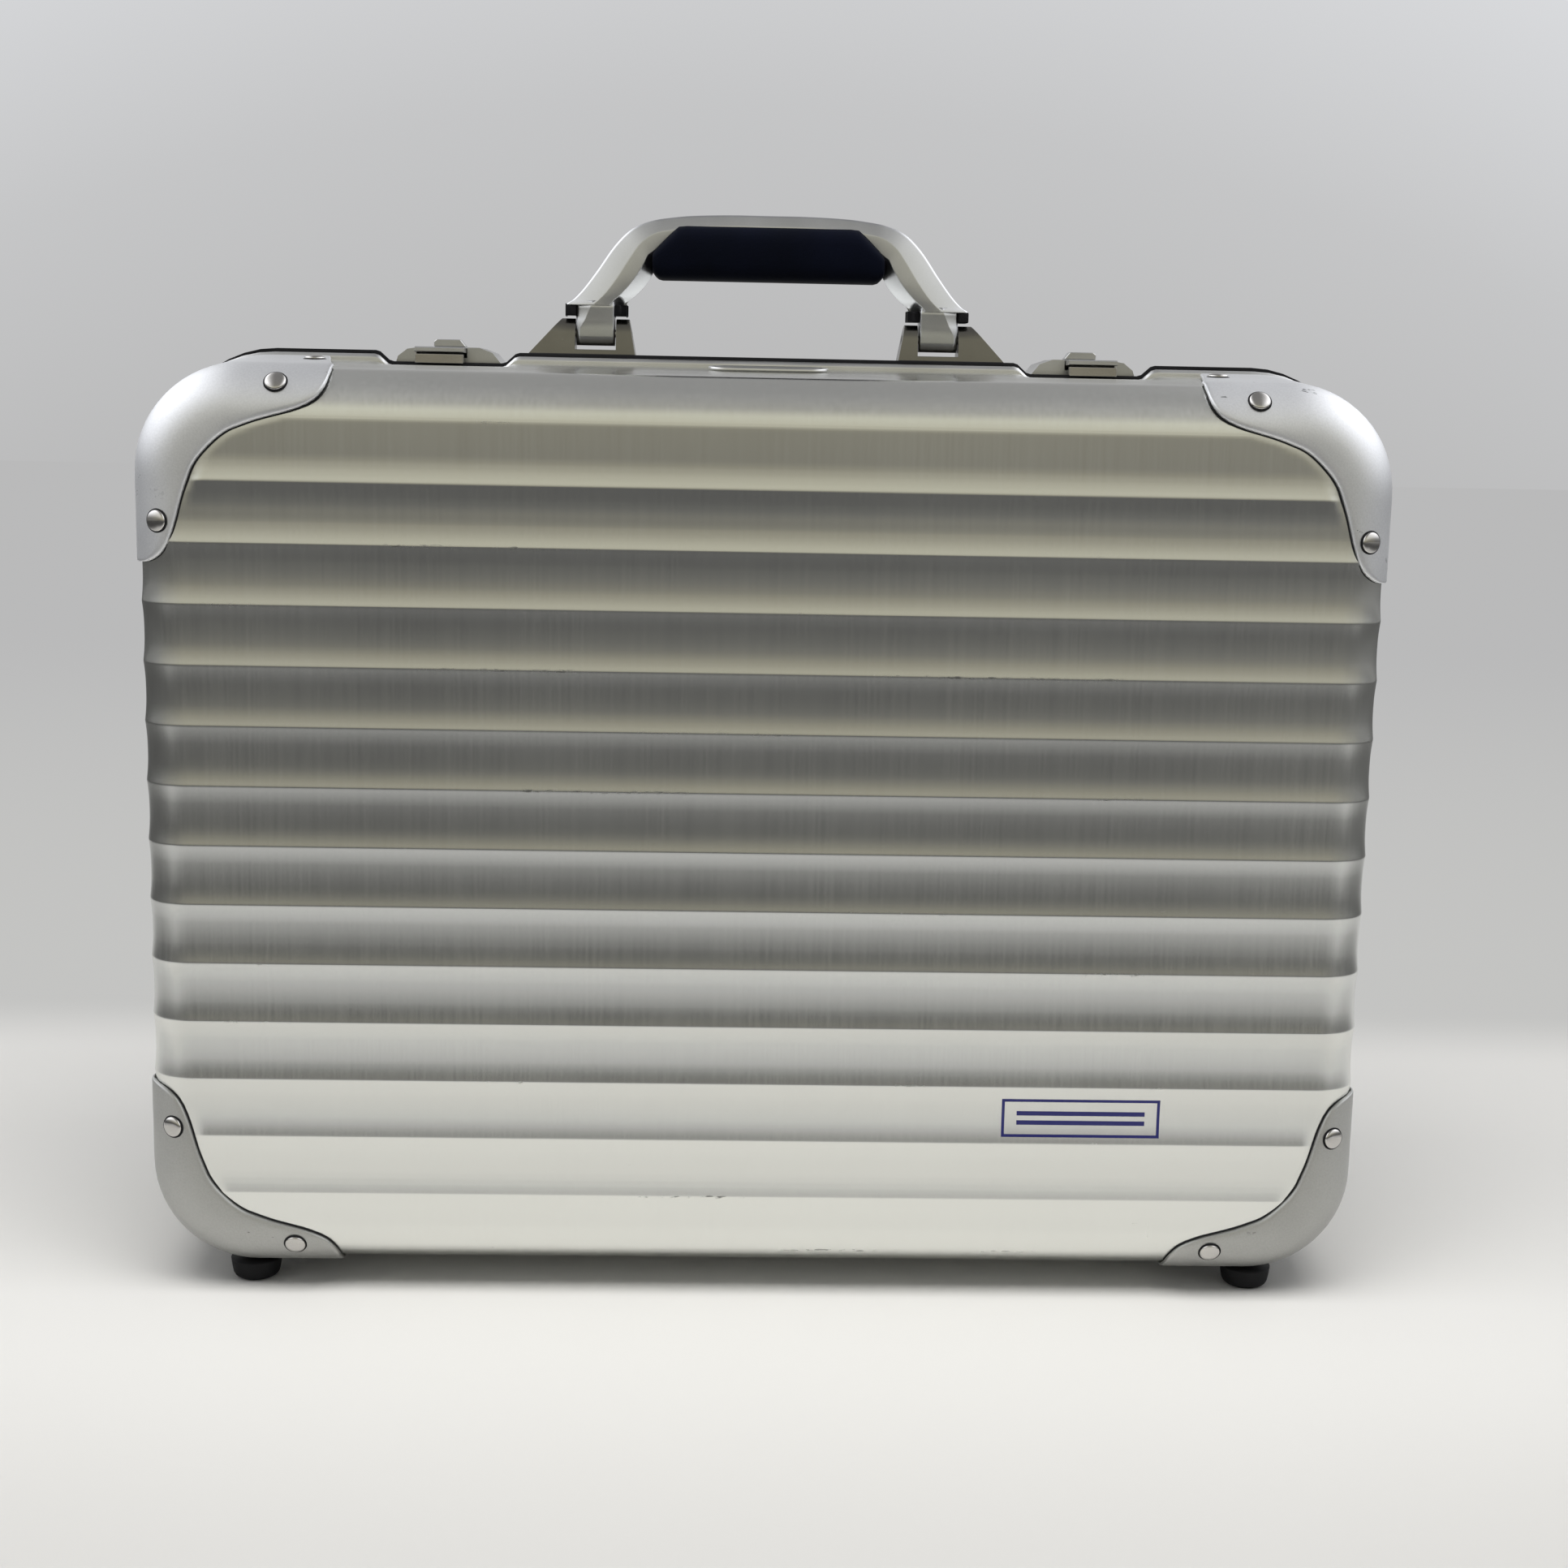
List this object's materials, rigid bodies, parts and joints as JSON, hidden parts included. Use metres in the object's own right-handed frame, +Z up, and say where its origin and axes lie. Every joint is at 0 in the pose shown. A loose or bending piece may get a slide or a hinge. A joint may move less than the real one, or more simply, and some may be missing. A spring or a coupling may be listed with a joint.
{
  "type": "attache case",
  "caption": "Ribbed aluminium attache case with riveted corner caps, swinging carry handle, two latches, bottom hinges and rubber feet.",
  "frame": {"origin": "floor level under the middle of the case, in the plane of the seam", "axes": "+X to the viewer's right along the case, -Y out of the front half (the lid), +Z up to the handle"},
  "size_m": [0.4528, 0.1546, 0.3945],
  "materials": {
    "shell": "brushed, vertical grain",
    "frame": "satin extruded",
    "cap": "matte bead blasted",
    "handle": "satin die cast",
    "latch": "satin die cast",
    "steel": "bright",
    "rubber": "matte",
    "grip": "satin",
    "lining": "woven",
    "label": "satin"
  },
  "bodies": {
    "base": {"rear_shell": "shell", "rear_frame": "frame", "rear_lining": "lining", "frame_seal": "rubber", "rear_cap_top_left": "cap", "rear_cap_top_right": "cap", "rear_cap_bottom_left": "cap", "rear_cap_bottom_right": "cap", "rear_foot_left": "rubber", "rear_foot_right": "rubber", "hinge_leaf_rear_left": "steel", "hinge_leaf_rear_right": "steel", "hinge_pin_left": "steel", "hinge_pin_right": "steel", "handle_bracket_left": "handle", "handle_bracket_right": "handle", "handle_pin_left": "steel", "handle_pin_right": "steel", "latch_housing_left": "latch", "latch_housing_right": "latch", "latch_hasp_pin_left": "steel", "latch_hasp_pin_right": "steel", "latch_spring_left": "steel", "latch_spring_right": "steel", "stay_stud_left": "steel", "stay_stud_right": "steel"},
    "lid": {"front_shell": "shell", "front_frame": "frame", "front_lining": "lining", "document_pocket": "lining", "label_plate": "label", "front_cap_top_left": "cap", "front_cap_top_right": "cap", "front_cap_bottom_left": "cap", "front_cap_bottom_right": "cap", "front_foot_left": "rubber", "front_foot_right": "rubber", "hinge_leaf_front_left": "steel", "hinge_leaf_front_right": "steel", "latch_catch_left": "steel", "latch_catch_right": "steel", "stay_track_left": "steel", "stay_track_right": "steel"},
    "handle": {"handle_bail": "handle", "handle_grip": "grip"},
    "hasp_left": {"latch_hasp_left": "latch"},
    "button_left": {"latch_button_left": "latch"},
    "stay_left": {"stay_arm_left": "steel"},
    "hasp_right": {"latch_hasp_right": "latch"},
    "button_right": {"latch_button_right": "latch"},
    "stay_right": {"stay_arm_right": "steel"}
  },
  "joints": [
    {"name": "lid_hinge", "type": "hinge", "parent": "base", "child": "lid", "pos_m": [0, 0, 0.0036], "axis": [1, 0, 0], "range_deg": [0, 70]},
    {"name": "handle_swing", "type": "hinge", "parent": "base", "child": "handle", "pos_m": [0, 0.016, 0.3495], "axis": [1, 0, 0], "range_deg": [-80, 80]},
    {"name": "hasp_left_pivot", "type": "hinge", "parent": "base", "child": "hasp_left", "pos_m": [0, 0.02, 0.341], "axis": [-1, 0, 0], "range_deg": [0, 60]},
    {"name": "button_left_slide", "type": "slide", "parent": "base", "child": "button_left", "axis": [1, 0, 0], "range_m": [0, 0.0022], "stiffness_N_per_m": 300},
    {"name": "stay_left_pivot", "type": "hinge", "parent": "base", "child": "stay_left", "pos_m": [0, 0.008, 0.06306], "axis": [1, 0, 0], "range_deg": [0, 140]},
    {"name": "hasp_right_pivot", "type": "hinge", "parent": "base", "child": "hasp_right", "pos_m": [0, 0.02, 0.341], "axis": [-1, 0, 0], "range_deg": [0, 60]},
    {"name": "button_right_slide", "type": "slide", "parent": "base", "child": "button_right", "axis": [-1, 0, 0], "range_m": [0, 0.0022], "stiffness_N_per_m": 300},
    {"name": "stay_right_pivot", "type": "hinge", "parent": "base", "child": "stay_right", "pos_m": [0, 0.008, 0.06306], "axis": [1, 0, 0], "range_deg": [0, 140]}
  ],
  "couplings": [
    {"joint": "stay_left_pivot", "follows": "lid_hinge", "ratio": 2},
    {"joint": "stay_right_pivot", "follows": "lid_hinge", "ratio": 2}
  ]
}
